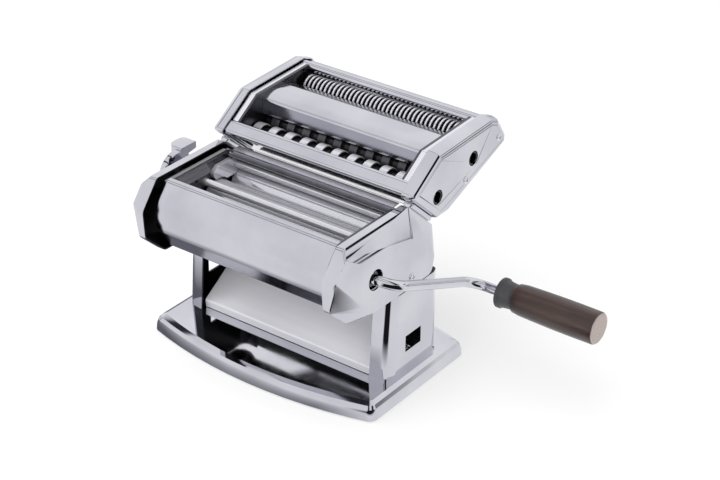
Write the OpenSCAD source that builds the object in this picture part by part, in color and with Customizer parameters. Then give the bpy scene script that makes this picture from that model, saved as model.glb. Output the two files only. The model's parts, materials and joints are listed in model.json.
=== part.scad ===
// Hand cranked pasta machine: a pressed steel stand and head with two smooth rollers,
// a thickness dial, a removable double cutter head and a bent crank with a wooden grip.
// X runs to the crank end, Y to the back, Z up. The origin is under the middle of the base.

/* [Smooth rollers] */
// Length of the smooth rollers
roller_len = 150; // [140:1:156]
// Diameter of the smooth rollers
roller_d = 30; // [29:0.1:30.4]
// Gap between the rollers at the widest setting
sheet_max = 2; // [1.9:0.1:2.4]
// Gap that the dial takes up on its way to the finest setting
gap_travel = 1.8; // [1:0.1:1.8]
// Height of the roller axes
roller_z = 110.5; // [108:0.5:112]
// Place of the roller gap, front to back
nip_y = -1.5; // [-4:0.5:-1]
// Diameter of the roller journals
journal_d = 10; // [8:0.5:11]
// Teeth of each roller gear, an odd count
roller_teeth = 15; // [15]
// Teeth of the crank pinion, an even count
pinion_teeth = 10; // [10]
// Width of the gears
gear_w = 5; // [4:0.25:5.25]

/* [Head housing] */
// Height of the top edge of the head
head_top_z = 146; // [144:0.5:150]
// Height of the bottom of the head
head_bottom_z = 82.6; // [80:0.2:84]
// Front of the nose
head_front_y = -88.4; // [-94:0.2:-86]
// Back of the head
head_rear_y = 36; // [35:0.5:40]
// Front corner of the top edge
mouth_front_y = -71.5; // [-74:0.5:-69]
// Rear corner of the top edge, where the back slope starts
mouth_rear_y = 5; // [3:0.5:8]
// Slope of the back of the head
back_slope = 42; // [40:0.5:44]
// Height of the upper nose corner
nose_top_z = 124.5; // [122:0.5:127]
// Height of the lower nose corner
nose_low_z = 101.7; // [99:0.5:104]
// Front corner of the bottom edge
chin_y = -66.5; // [-70:0.5:-62]
// Thickness of the pressed sheet
sheet_t = 1.2; // [1:0.1:1.4]
// Width of the flat rim band of a side panel
rim_w = 6.1; // [5.6:0.1:8]
// Rise of the domed end face beyond the rim band
dome_h = 7; // [6:0.5:9]
// Depth of the covers below the rim
cover_drop = 3.4; // [3:0.1:3.8]

/* [Frame] */
// Thickness of the inner bearing plates
frame_t = 3; // [2.5:0.1:3.5]
// Free space between a roller end and a bearing plate
end_gap = 1; // [0.6:0.1:1.5]
// Space between a bearing plate and the rim of its side panel
rim_gap = 4.2; // [4:0.1:5]
// Diameter of the tie rods
tie_d = 6; // [5:0.5:7]

/* [Stand] */
// Length of the base
base_len = 212.6; // [206:0.2:224]
// Width of the base across the middle of its bowed edges
base_w = 148; // [144:1:160]
// Bow of the front and rear edges
base_bow = 15.5; // [10:0.5:20]
// Height of the deck
deck_z = 13.8; // [12:0.2:16]
// Height of the skirt edge above the table
skirt_z = 1.2; // [0.8:0.1:2]
// Radius of the base corners
base_corner = 7; // [6:1:16]
// Front edge of a leg at the deck
leg_front_y = -30.5; // [-33:0.5:-28]
// Back edge of a leg
leg_rear_y = 36; // [34:0.5:38]
// Lean of the front edge of a leg, from deck to head
leg_lean = 5.5; // [0:0.5:8]
// Width of the clamp window in a leg
window_w = 19.3; // [16:0.1:22]
// Height of the clamp window in a leg
window_h = 13.6; // [11:0.1:16]
// Height of the middle of the clamp window
window_z = 37.5; // [34:0.5:44]
// Diameter of the rubber feet
foot_d = 16; // [12:1:20]

/* [Crank] */
// Diameter of the crank rod
rod_d = 8; // [7:0.1:8.4]
// Length of the crank arm between the two axes
arm_len = 108; // [100:1:115]
// Angle of the arm at rest, below the horizontal towards the back
arm_angle = 23; // [0:1:40]
// Radius of the two bends, at the middle of the rod
bend_r = 10; // [8:0.5:14]
// Space between the base end and the arm
arm_clear = 5.7; // [5:0.1:10]
// Length of the wooden grip
grip_len = 70; // [60:1:85]
// Largest diameter of the wooden grip
grip_d = 25.4; // [22:0.2:28]
// Length of the dark collar on the crank
collar_len = 15; // [12:0.5:20]

/* [Thickness dial] */
// Diameter of the dial disc
dial_d = 33; // [30:1:38]
// Thickness of the dial disc
dial_t = 6; // [5:0.5:8]
// Reach of the thumb pad beyond the face of the dial
tab_out = 7.5; // [5:0.5:10]
// Width of the thumb pad
tab_w = 18; // [14:0.5:20]
// Height of the thumb pad above the dial axis
tab_up = 17.8; // [16:0.2:20]
// Turn of the dial from the widest to the finest setting
dial_turn = 150; // [150]
// Distance of the dial axis in front of the front roller axis
dial_ahead = 14.2; // [13.8:0.1:16]
// Height of the dial axis above the roller axes
dial_above = 19.8; // [18:0.1:21]

/* [Cutter head] */
// Place of the driven wide cutter behind the rear corner of the top edge
cut_back = 29.1; // [28.6:0.1:31]
// Place of the driven wide cutter below the top edge of the head
cut_drop = 2.7; // [0:0.1:3]
// Tilt of the cutter head
cut_tilt = 16.5; // [15:0.5:18]
// Distance between the two driven cutters
cut_pitch = 47.2; // [46:0.2:50]
// Distance between the two cutters of a pair
cut_centres = 17.5; // [17:0.1:18]
// Outer diameter of the cutter rings
ring_d = 20; // [19.4:0.1:20.4]
// Depth of the grooves between the rings
ring_depth = 3; // [2.8:0.1:3.2]
// Width of a wide strip
wide_strip = 7.5; // [6:0.5:7.5]
// Width of a fine strip
fine_strip = 2; // [2:0.5:3]
// Gap between the head's back slope and the cutter head
cut_gap = 4; // [3.6:0.1:5]

/* [Hidden] */
$fn = 48;

// Clearances shared by the fits
run_fit = 0.03;
slip = 0.1;
part_gap = 0.3;
slice = 0.02;
over = 1;

// Colours of the finishes
c_chrome = [0.80, 0.80, 0.83];
c_steel = [0.66, 0.67, 0.70];
c_dark = [0.20, 0.20, 0.22];
c_wood = [0.27, 0.17, 0.12];
c_rubber = [0.08, 0.08, 0.08];

// Stations along the length
roller_end = roller_len / 2;
frame_in = roller_end + end_gap;
frame_out = frame_in + frame_t;
rim_in = frame_out + rim_gap;
rim_out = rim_in + rim_w;
face_x = rim_out + dome_h;
leg_in = rim_in - 1.6;
cover_end = rim_in + 0.5;
gear_x = cover_end + 0.4;
side_step = 0.1;

// Axes in the side view
front_y = nip_y - (roller_d + sheet_max) / 2;
rear_y = nip_y + (roller_d + sheet_max) / 2;
gear_m = roller_d / roller_teeth;
mesh_play = 0.3;
crank_y = front_y - gear_m * (roller_teeth + pinion_teeth) / 2 - mesh_play;
dial_y = front_y - dial_ahead;
dial_z = roller_z + dial_above;
cut_y = mouth_rear_y + cut_back;
cut_z = head_top_z - cut_drop;

// Side view outlines, points as [y, z], counterclockwise
slope_dir = [cos(back_slope), -sin(back_slope)];
slope_out = [sin(back_slope), cos(back_slope)];
top_rear = [mouth_rear_y, head_top_z];
slope_len = (head_rear_y - mouth_rear_y) / cos(back_slope);
rim_rise = 13.4;
rim_step = 8;
rim = [
    top_rear,
    [mouth_front_y, head_top_z],
    [head_front_y, nose_top_z],
    [head_front_y + 1.4, nose_low_z],
    [chin_y, head_bottom_z],
    [head_rear_y - rim_step, head_bottom_z],
    [head_rear_y, head_bottom_z + rim_rise],
    top_rear + slope_len * slope_dir
];
rim_round = [6, 5, 7, 7, 8, 6, 6, 6];
dome_drop = 21;
dome_front = 27;
dome_face = [
    [mouth_rear_y - 4, head_top_z - dome_drop],
    [mouth_front_y + 20, head_top_z - dome_drop],
    [head_front_y + dome_front, nose_top_z - 11],
    [head_front_y + dome_front + 1, nose_low_z - 4],
    [chin_y + 18, head_bottom_z + 1.4],
    [head_rear_y - 9.5, head_bottom_z + 1.4],
    [head_rear_y - 6.5, head_bottom_z + 15],
    [head_rear_y - 9, head_bottom_z + 22]
];
dome_round = [5, 10, 12, 12, 14, 6, 6, 4];
crest_rise = 5;
crest_depth = 8;

// Functions on outlines
function left_normal(v) = [-v[1], v[0]] / norm(v);
function turn(v, a) = [v[0] * cos(a) - v[1] * sin(a), v[0] * sin(a) + v[1] * cos(a)];
function mitre(a, b) = (a + b) / (1 + a * b);
function inset(p, d) = let (n = len(p)) [
    for (i = [0 : n - 1])
        p[i] + d * mitre(left_normal(p[i] - p[(i + n - 1) % n]), left_normal(p[(i + 1) % n] - p[i]))
];
function corner_arc(a, b, c, r, steps) =
    let (u = (b - a) / norm(b - a), v = (c - b) / norm(c - b), s = u[0] * v[1] - u[1] * v[0])
    let (bend = atan2(s, u * v), side = sign(bend), reach = r * tan(abs(bend) / 2))
    let (mid = b - u * reach + side * r * left_normal(u))
    r == 0 || abs(bend) < 1 ? [b]
    : [for (k = [0 : steps]) mid - side * r * turn(left_normal(u), bend * k / steps)];
function rounded(p, radii, steps = 6) = let (n = len(p)) [
    for (i = [0 : n - 1])
        each corner_arc(p[(i + n - 1) % n], p[i], p[(i + 1) % n], radii[i], steps)
];
function bent(p, radii, steps = 8) = let (n = len(p)) [
    p[0],
    for (i = [1 : n - 2]) each corner_arc(p[i - 1], p[i], p[i + 1], radii[i - 1], steps),
    p[n - 1]
];
function beside(p, d) = let (n = len(p)) [
    p[0] + d * left_normal(p[1] - p[0]),
    for (i = [1 : n - 2])
        p[i] + d * mitre(left_normal(p[i] - p[i - 1]), left_normal(p[i + 1] - p[i])),
    p[n - 1] + d * left_normal(p[n - 1] - p[n - 2])
];
function backwards(p) = [for (i = [len(p) - 1 : -1 : 0]) p[i]];
function sheet_outline(p, t) = concat(p, backwards(beside(p, t)));

// Gear outline with long teeth, a tooth pointing along the first axis
function gear_points(n, m, fill) = [
    for (i = [0 : n - 1])
        for (q = [[-1.4, -1.15], [-0.98, 0], [-0.5, 1], [0.5, 1], [0.98, 0], [1.4, -1.15]])
            (n * m / 2 + q[1] * m) * [cos(360 * i / n + q[0] * fill * 90 / n),
                                      sin(360 * i / n + q[0] * fill * 90 / n)]
];

// Snail cam outline that rises as the dial turns
cam_r = 6;
function cam_radius(a) = cam_r + gap_travel * min(1, max(0, a) / dial_turn);
function cam_points() = [
    for (a = [-60 : 6 : dial_turn + 30]) cam_radius(a) * [cos(-a), sin(-a)]
];

// A side view outline made into a slab that starts at station x
module slab(x, t) {
    translate([x, 0, 0]) rotate([90, 0, 90]) linear_extrude(t) children();
}

// A round bar along X
module bar_x(x, length, d, y, z) {
    translate([x, y, z]) rotate([0, 90, 0]) cylinder(h = length, d = d);
}

// The same piece on the left and on the right end
module both_ends() {
    children();
    mirror([1, 0, 0]) children();
}

// Base

function base_points(d) =
    let (half = base_len / 2 - d, apex = base_w / 2 - d, steps = 12)
    let (r = (half * half + base_bow * base_bow) / (2 * base_bow))
    let (bow = [for (k = [0 : steps]) let (x = half * (2 * k / steps - 1))
                [x, -(apex - (r - sqrt(r * r - x * x)))]])
    let (ring = concat(bow, -bow))
    rounded(ring, [for (k = [0 : 2 * steps + 1]) k % (steps + 1) == 0 || k % (steps + 1) == steps
                   ? base_corner - d / 2 : 0]);

shoulder = [[0, 0], [0.35, 0.3], [0.68, 1.4], [0.86, 3.2], [1, 6.6]];

module base_dome(drop, inward) {
    rise = deck_z - drop - skirt_z;
    hull() {
        for (s = shoulder) {
            translate([0, 0, skirt_z + s[0] * rise - (s[0] == 0 ? drop : 0)])
                linear_extrude(slice) polygon(base_points(s[1] + inward));
        }
    }
}

module base_plate() {
    color(c_chrome) difference() {
        base_dome(slice, 0);
        base_dome(sheet_t, sheet_t);
    }
}

foot_x = base_len / 2 - 22;
foot_y = base_w / 2 - base_bow - 18;
foot_seat = deck_z - sheet_t - part_gap;

module base_feet() {
    color(c_rubber) for (x = [-foot_x, foot_x]) for (y = [-foot_y, foot_y]) {
        translate([x, y, 0]) rotate_extrude() polygon([
            [0, 0], [foot_d / 2 - 1, 0], [foot_d / 2, 1],
            [foot_d / 2 - 1.5, foot_seat], [0, foot_seat]
        ]);
    }
}

// Side panels: a leg and a domed end cap in one pressing

leg_top_y = leg_front_y + leg_lean;
leg_top_z = head_bottom_z + sheet_t / 2;
leg_wall = 1.4;
window_y = 4.5;

function leg_points(inner_x, front, t) = rounded([
    [inner_x, front + t],
    [face_x - 2.3 - t, front + 1.5 + t],
    [face_x - t, front + 12.8],
    [face_x - t, leg_rear_y - 6.5],
    [face_x - 2.3 - t, leg_rear_y - t],
    [inner_x, leg_rear_y - t]
], [0, 5, 6, 4, 4, 0]);

module leg_form(inner_x, low, high, t) {
    hull() {
        translate([0, 0, low]) linear_extrude(slice) polygon(leg_points(inner_x, leg_front_y, t));
        translate([0, 0, high]) linear_extrude(slice) polygon(leg_points(inner_x, leg_top_y, t));
    }
}

// The front slope of the rim runs on to a crest, nearly as far out as the end face
nose_slope = rim[2] - rim[1];
crest = [
    rim[1] + 0.24 * nose_slope + crest_depth * left_normal(nose_slope),
    rim[1] + 0.2 * nose_slope,
    rim[1] + 0.94 * nose_slope,
    rim[1] + 0.9 * nose_slope + crest_depth * left_normal(nose_slope)
];

module cap_form(start, t) {
    hull() {
        slab(start, rim_out - start - t / 2) polygon(rounded(inset(rim, t), rim_round));
        slab(rim_out + crest_rise - t, slice) polygon(rounded(inset(crest, t), [1, 3, 3, 1]));
        slab(face_x - t - slice, slice) polygon(rounded(inset(dome_face, t), dome_round));
    }
}

post_at = [nip_y + 3, roller_z - 18.5];
screw_d = 4;
shaft_d = 12;
shaft_hole = shaft_d + 4.4;
adjust_d = 6;

module panel_form() {
    difference() {
        union() {
            cap_form(rim_in, 0);
            leg_form(leg_in, deck_z, leg_top_z, 0);
        }
        cap_form(rim_in - over, sheet_t);
        leg_form(leg_in - over, deck_z - over, leg_top_z + sheet_t, leg_wall);
        translate([face_x - 4, window_y - window_w / 2, window_z - window_h / 2])
            cube([8, window_w, window_h]);
        bar_x(face_x - 4, 8, screw_d, post_at[0], post_at[1]);
    }
    translate([leg_in - 6, leg_front_y + 12, deck_z])
        cube([face_x - leg_in + 6 - leg_wall / 2, leg_rear_y - leg_front_y - 14, leg_wall]);
}

module right_side_panel() {
    color(c_chrome) difference() {
        panel_form();
        bar_x(face_x - 6, 10, shaft_hole, crank_y, roller_z);
    }
}

module left_side_panel() {
    color(c_chrome) mirror([1, 0, 0]) difference() {
        panel_form();
        bar_x(rim_in, 20, adjust_d + 2 * part_gap, dial_y, dial_z);
    }
}

foot_screw_x = leg_in - 2;

module foot_screws() {
    color(c_steel) both_ends() for (y = [-8, 20]) {
        translate([foot_screw_x, y, deck_z + leg_wall])
            rotate_extrude() polygon([[0, 0], [3.2, 0], [3, 1.2], [1.6, 2], [0, 2.1]]);
    }
}

module panel_posts() {
    color(c_steel) both_ends() difference() {
        bar_x(frame_out, face_x - sheet_t - frame_out, 7, post_at[0], post_at[1]);
        bar_x(frame_out - over, face_x, screw_d, post_at[0], post_at[1]);
    }
}

module panel_screws() {
    color(c_steel) both_ends() translate([0, post_at[0], post_at[1]]) rotate([0, 90, 0]) {
        translate([0, 0, frame_out + 2])
            cylinder(h = face_x - frame_out - 2, d = screw_d - 2 * run_fit);
        translate([0, 0, face_x])
            rotate_extrude() polygon([[0, 0], [3.4, 0], [3.2, 0.8], [1.8, 1.5], [0, 1.6]]);
    }
}

// Inner bearing plates and what they carry

cover_t = 1;
cover_line = inset(rim, cover_drop);
lip_y = mouth_front_y + 10.5;
nose_r = 24;
cover_front = [
    cover_line[1] + [4.4, 0.2], cover_line[2] + [1.4, -2.9], cover_line[3] + [7.4, 1.6],
    cover_line[4] + [1.6, 0]
];
cover_form = concat([cover_line[0]], cover_front, [cover_line[5], cover_line[6], cover_line[7]]);
front_path = bent(concat(
    [[lip_y + 2, head_top_z - 7], [lip_y, head_top_z - 2]], cover_front,
    [cover_front[3] + [22, 0]]
), [1.4, 5, nose_r, 5, 8], 12);
rear_path = bent([
    cover_line[5] - [10, 0], cover_line[5], cover_line[6], cover_line[7],
    cover_line[0] + [1, -0.9], cover_line[0] + [-5, -3.5]
], [4, 6, 6, 2]);

// Room for a sheet that passes through a plate
module sheet_slot(x, t, path) {
    slab(x - over, t + 2 * over) polygon(sheet_outline(beside(path, -slip), cover_t + 2 * slip));
}

frame_drop = cover_drop + 1.4;
frame_round = [3, 3, nose_r - 1.4, 3, 3, 3, 3, 3];
block_w = 18;
block_h = 16;
bush_d = 16;
ties = [[chin_y + 1, roller_z], [chin_y + 14.5, head_bottom_z + 11], [mouth_rear_y + 1, head_top_z - 16]];

// Cheek that leads the dough in from the top of a bearing plate
cheek_in = frame_in - 5;
cheek_len = 32;
cheek = [
    [frame_out, -1.4], [frame_out, 0], [frame_in, 0], [cheek_in, -5.4], [cheek_in + 0.9, -6.2],
    [frame_in + 0.6, -1.4]
];

module frame_form() {
    difference() {
        union() {
            slab(frame_in, frame_t) polygon(rounded(inset(cover_form, frame_drop - cover_drop), frame_round, 12));
            translate([0, front_y - 7, head_top_z - frame_drop]) rotate([90, 0, 0])
                linear_extrude(cheek_len) polygon(cheek);
        }
        translate([frame_in - over, front_y - block_w / 2 - part_gap, roller_z - block_h / 2 - slip])
            cube([frame_t + 2 * over, block_w + gap_travel + 3 * part_gap, block_h + 2 * slip]);
        bar_x(frame_in - over, frame_t + 2 * over, bush_d + 2 * run_fit, rear_y, roller_z);
        bar_x(frame_in - over, frame_t + 6, adjust_d + 2 * run_fit, dial_y, dial_z);
        sheet_slot(frame_in, frame_t, front_path);
        sheet_slot(frame_in, frame_t, rear_path);
    }
}

module right_frame_plate() {
    color(c_steel) difference() {
        frame_form();
        bar_x(frame_in - over, frame_t + 2 * over, bush_d + 2 * run_fit, crank_y, roller_z);
    }
}

module left_frame_plate() {
    color(c_steel) mirror([1, 0, 0]) frame_form();
}

module tie_rods() {
    color(c_steel) for (p = ties) bar_x(-frame_in, 2 * frame_in, tie_d, p[0], p[1]);
}

module flanged_bush(bore, y) {
    difference() {
        union() {
            bar_x(frame_in, frame_t + 2, bush_d, y, roller_z);
            bar_x(frame_out, 2, bush_d + 3, y, roller_z);
        }
        bar_x(frame_in - over, frame_t + 4, bore + 2 * run_fit, y, roller_z);
    }
}

module rear_roller_bushes() {
    color("goldenrod") both_ends() flanged_bush(journal_d, rear_y);
}

module drive_bush() {
    color("goldenrod") flanged_bush(shaft_d, crank_y);
}

// Bearing blocks of the front roller, pushed back by the cams

block_x = frame_out + side_step;
flange_t = 2.8;
pad_y = dial_y + cam_r + slip;

module bearing_block() {
    difference() {
        union() {
            translate([frame_in + side_step, front_y - block_w / 2, roller_z - block_h / 2])
                cube([frame_t + 1, block_w, block_h]);
            slab(block_x, flange_t) polygon([
                [front_y - block_w / 2 - 3, roller_z - block_h / 2 - 3],
                [front_y + block_w / 2 + 1, roller_z - block_h / 2 - 3],
                [front_y + block_w / 2 + 1, roller_z + block_h / 2 - 1],
                [pad_y + 7, roller_z + block_h / 2 - 1],
                [pad_y + 7, dial_z + 7],
                [pad_y, dial_z + 7],
                [pad_y, roller_z + block_h / 2 - 1],
                [front_y - block_w / 2 - 3, roller_z + block_h / 2 - 1]
            ]);
        }
        bar_x(frame_in - over, 12, journal_d + 2 * run_fit, front_y, roller_z);
    }
}

module right_bearing_block() {
    color(c_steel) bearing_block();
}

module left_bearing_block() {
    color(c_steel) mirror([1, 0, 0]) bearing_block();
}

// Smooth rollers and their gears

module smooth_roller(y) {
    edge = 1.2;
    translate([0, y, roller_z]) rotate([0, 90, 0]) rotate_extrude() polygon([
        [0, -frame_out - 3], [journal_d / 2, -frame_out - 3], [journal_d / 2, -roller_end],
        [roller_d / 2 - edge, -roller_end], [roller_d / 2, edge - roller_end],
        [roller_d / 2, roller_end - edge], [roller_d / 2 - edge, roller_end],
        [journal_d / 2, roller_end], [journal_d / 2, gear_x + gear_w + 0.5],
        [0, gear_x + gear_w + 0.5]
    ]);
}

module front_roller() {
    color(c_chrome) smooth_roller(front_y);
}

module rear_roller() {
    color(c_chrome) smooth_roller(rear_y);
}

module gear(x, y, z, n, m, fill, bore, phase = 0) {
    difference() {
        translate([0, y, z]) rotate([phase, 0, 0]) slab(x, gear_w) polygon(gear_points(n, m, fill));
        bar_x(x - over, gear_w + 2 * over, bore + 2 * run_fit, y, z);
    }
}

tooth_fill = 0.8;

module front_roller_gear() {
    color(c_steel) gear(gear_x, front_y, roller_z, roller_teeth, gear_m, tooth_fill, journal_d);
}

module rear_roller_gear() {
    color(c_steel) gear(gear_x, rear_y, roller_z, roller_teeth, gear_m, tooth_fill, journal_d);
}

module drive_pinion() {
    color(c_steel) gear(gear_x, crank_y, roller_z, pinion_teeth, gear_m, tooth_fill, shaft_d);
}

// A drive socket: a round hole with a cross slot at its mouth, open to the right
socket_d = rod_d + 2 * 0.05;
socket_depth = 16;
slot_w = 2.6;
slot_depth = 4;
key_len = 10.4;

module socket_hole(end, y, z) {
    bar_x(end - socket_depth, socket_depth + over, socket_d, y, z);
    translate([end - slot_depth, y - slot_w / 2, z - shaft_d])
        cube([slot_depth + over, slot_w, 2 * shaft_d]);
}

shaft_end = face_x - 2.4;

module drive_shaft() {
    color(c_steel) difference() {
        bar_x(frame_in + side_step, shaft_end - frame_in - side_step, shaft_d, crank_y, roller_z);
        socket_hole(shaft_end, crank_y, roller_z);
    }
}

// Crank with its collar and wooden grip

arm_x = max(base_len / 2, face_x) + arm_clear;
collar_x = arm_x + 26;
grip_x = collar_x + collar_len;
grip_bore = grip_len - 8;
rod_tip = shaft_end - socket_depth + 0.5;

module crank_place() {
    translate([0, crank_y, roller_z]) rotate([-arm_angle, 0, 0]) children();
}

module elbow(a) {
    rotate_extrude(angle = a) translate([bend_r, 0]) circle(d = rod_d);
}

module crank_rod() {
    color(c_chrome) {
        translate([shaft_end - slot_depth + part_gap, crank_y - slot_w / 2 + slip, roller_z - key_len / 2])
            cube([slot_depth - 2 * part_gap, slot_w - 2 * slip, key_len]);
        crank_place() {
            bar_x(rod_tip, arm_x - bend_r - rod_tip, rod_d, 0, 0);
            translate([arm_x - bend_r, bend_r, 0]) rotate([0, 0, -90]) elbow(90);
            translate([arm_x, bend_r, 0]) rotate([-90, 0, 0])
                cylinder(h = arm_len - 2 * bend_r, d = rod_d);
            translate([arm_x + bend_r, arm_len - bend_r, 0]) rotate([0, 0, 90]) elbow(90);
            bar_x(arm_x + bend_r, grip_x + grip_bore - 1 - arm_x - bend_r, rod_d, arm_len, 0);
        }
    }
}

module crank_collar() {
    color(c_dark) crank_place() translate([collar_x, arm_len, 0]) rotate([0, 90, 0])
        rotate_extrude() polygon(concat([
            [rod_d / 2 + run_fit, 0], [grip_d / 2 - 3.4, 0], [grip_d / 2 - 1, 1.2],
            [grip_d / 2 - 1, 3.6], [grip_d / 2 - 2.2, 5.2]
        ], [
            [grip_d / 2 - 2.9, collar_len - 3], [grip_d / 2 - 2.4, collar_len - slip],
            [rod_d / 2 + run_fit, collar_len - slip]
        ]));
}

// Radius of the grip at a share of its length
function grip_radius(s) = grip_d / 2 - 1.5 + 1.5 * sin(20 + 100 * s);

module crank_grip() {
    steps = 12;
    color(c_wood) crank_place() translate([grip_x, arm_len, 0]) rotate([0, 90, 0])
        rotate_extrude() polygon(concat(
            [[rod_d / 2 + 0.06, 0]],
            [for (k = [0 : steps]) [grip_radius(k / steps) - (k == 0 ? 0.6 : 0),
                                    (grip_len - 2) * k / steps]],
            [[grip_radius(1) - 0.7, grip_len - 0.6], [grip_radius(1) - 2.2, grip_len]],
            [[0, grip_len], [0, grip_bore], [rod_d / 2 + 0.06, grip_bore]]
        ));
}

// Thickness dial, its shaft and the two cams

dial_in = face_x + 1.6;
dial_out = dial_in + dial_t;

module adjust_shaft() {
    color(c_steel) bar_x(-dial_out + 1.5, dial_out - 1.5 + frame_out + 3.4, adjust_d, dial_y, dial_z);
}

module adjust_cams() {
    color(c_steel) both_ends() difference() {
        translate([0, dial_y, dial_z]) slab(block_x + side_step, flange_t - side_step)
            polygon(cam_points());
        bar_x(frame_out - over, 10, adjust_d + 2 * run_fit, dial_y, dial_z);
    }
}

// Thumb pad, seen along X and from above, and the pointer hole, from the dial axis
pad_start = 3.4;
pad_low = tab_up - 5.4;
pad_side = [
    [pad_start, pad_low - 2], [pad_start + 6, pad_low - 2], [pad_start + tab_w, pad_low],
    [pad_start + tab_w, tab_up], [pad_start, tab_up]
];
pad_top = [
    [dial_in, pad_start], [dial_out + tab_out, pad_start], [dial_out + tab_out, pad_start + tab_w],
    [dial_in, pad_start + tab_w]
];
pointer = [5.6, 8.2];
pointer_d = 3.4;

module dial() {
    color(c_steel) mirror([1, 0, 0]) difference() {
        union() {
            translate([dial_in, dial_y, dial_z]) rotate([0, 90, 0]) rotate_extrude() polygon([
                [0, 0], [dial_d / 2 - 1, 0], [dial_d / 2, 1], [dial_d / 2, dial_t - 1.5],
                [dial_d / 2 - 1.5, dial_t], [0, dial_t]
            ]);
            translate([0, dial_y, dial_z]) intersection() {
                slab(dial_in, dial_t + tab_out) polygon(rounded(pad_side, [0, 2, 2, 1.5, 1.5]));
                linear_extrude(2 * tab_up) polygon(rounded(pad_top, [0, 6.5, 6.5, 1]));
            }
        }
        bar_x(dial_in - 2, dial_t + 0.5, adjust_d + 2 * run_fit, dial_y, dial_z);
        bar_x(dial_out - 3, 3 + over, pointer_d, dial_y + pointer[0], dial_z + pointer[1]);
    }
}

module dial_screw() {
    color(c_dark) mirror([1, 0, 0]) translate([dial_out, dial_y, dial_z]) rotate([0, 90, 0])
        rotate_extrude() polygon([[0, 0], [4, 0], [3.8, 1], [2.4, 1.8], [0, 2]]);
}

// Sheet covers of the head

module front_cover() {
    color(c_chrome) slab(-frame_out, 2 * frame_out) polygon(sheet_outline(front_path, cover_t));
}

module rear_cover() {
    color(c_chrome) slab(-cover_end, 2 * cover_end) polygon(sheet_outline(rear_path, cover_t));
}

// Sloping chute between the legs

chute_t = 1.2;
chute_front = leg_front_y + 4.5;
chute_foot = 7;
chute_back = leg_rear_y - 6;
chute_rise = 43;
chute_lip = 7;

module chute_plate() {
    path = bent([
        [chute_front + 0.6, deck_z + part_gap], [chute_front, deck_z + chute_foot],
        [chute_back, deck_z + chute_rise], [chute_back + 2, deck_z + chute_rise + chute_lip]
    ], [1.6, 6]);
    color(c_chrome) slab(part_gap - leg_in, 2 * (leg_in - part_gap)) polygon(sheet_outline(path, -chute_t));
}

// Wedges that keep the dough away from the roller ends

guide_w = 3;

module dough_guide() {
    clear = roller_d + 2 * 0.6;
    difference() {
        slab(frame_in - guide_w - end_gap, guide_w + end_gap) polygon(rounded([
            [front_y + 2, roller_z + 12], [rear_y - 2, roller_z + 12], [rear_y + 2, roller_z + 14],
            [rear_y - 8, roller_z + 24], [rear_y - 13, roller_z + 26], [front_y + 2, roller_z + 26],
            [front_y - 5, roller_z + 21]
        ], [0, 0, 2, 3, 4, 4, 3]));
        bar_x(frame_in - 10, 20, tie_d + 2 * slip, ties[2][0], ties[2][1]);
        for (y = [front_y, front_y + gap_travel, rear_y])
            bar_x(frame_in - 10, 20, clear, y, roller_z);
    }
}

module right_dough_guide() {
    color(c_chrome) dough_guide();
}

module left_dough_guide() {
    color(c_chrome) mirror([1, 0, 0]) dough_guide();
}

// Scraper blades under the rollers

module scraper(y, side) {
    tip = [side * (roller_d / 2 + 0.5) * cos(52), -(roller_d / 2 + 0.5) * sin(52)];
    path = [tip, tip + [side * 3.4, -5.2], tip + [side * 2, -8.6]];
    translate([0, y, roller_z]) slab(-frame_in, 2 * frame_in)
        polygon(sheet_outline(path, -side * 0.8));
}

module front_scraper() {
    color(c_steel) scraper(front_y, -1);
}

module rear_scraper() {
    color(c_steel) scraper(rear_y, 1);
}

// Cutter head, in its own tilted frame with the driven wide cutter at the origin

module cutter_place() {
    translate([0, cut_y, cut_z]) rotate([cut_tilt, 0, 0]) children();
}

function to_cutter(p) = turn(p - [cut_y, cut_z], -cut_tilt);

seat = top_rear + cut_gap * slope_out;
cut_seat_up = to_cutter(seat - 8.3 * slope_dir);
cut_seat_low = to_cutter(seat + 38 * slope_dir);
cut_end = cut_pitch + cut_centres;
cut_outline = [
    [11.7, 32.4], cut_seat_up, cut_seat_low, [9, -23.3], [cut_end + 24.5, -17.3],
    [cut_end + 27.5, -10.3], [cut_end + 21.4, 9.3], [cut_end + 12.5, 15.9]
];
cut_round = [3, 3, 4, 5, 4, 6, 6, 4];
cut_in = frame_out + 4.6;
cut_out = face_x - 1.3;
cut_plate_in = frame_in;
cut_plate_t = 2.6;
driver_d = 11;
follower_d = 8;
driver_end = cut_out - 0.4;
cut_gear_x = cut_in + 0.6;
cut_teeth = 10;
cut_m = cut_centres / cut_teeth;

// Rounded edge of a cutter cap: distance from its face and depth inside its outline
cap_edge = [[6.8, 0], [2.6, 1.1], [0.9, 2.9], [slice, 5]];

function cut_ring(d) = rounded(inset(cut_outline, d), [for (r = cut_round) max(0.8, r - d)]);

module cutter_cap_solid(start, t) {
    hull() {
        slab(start, 0.5) polygon(cut_ring(t));
        for (e = cap_edge) slab(cut_out - t - e[0], slice) polygon(cut_ring(e[1] + t));
    }
}

module cutter_cap_form(holes) {
    difference() {
        cutter_cap_solid(cut_in, 0);
        cutter_cap_solid(cut_in - over, sheet_t);
        if (holes) {
            for (u = [0, cut_pitch]) bar_x(cut_out - 5, 10, driver_d + 2 * part_gap, u, 0);
        }
    }
}

module cutter_right_cap() {
    color(c_chrome) cutter_place() cutter_cap_form(true);
}

module cutter_left_cap() {
    color(c_chrome) cutter_place() mirror([1, 0, 0]) cutter_cap_form(false);
}

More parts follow.
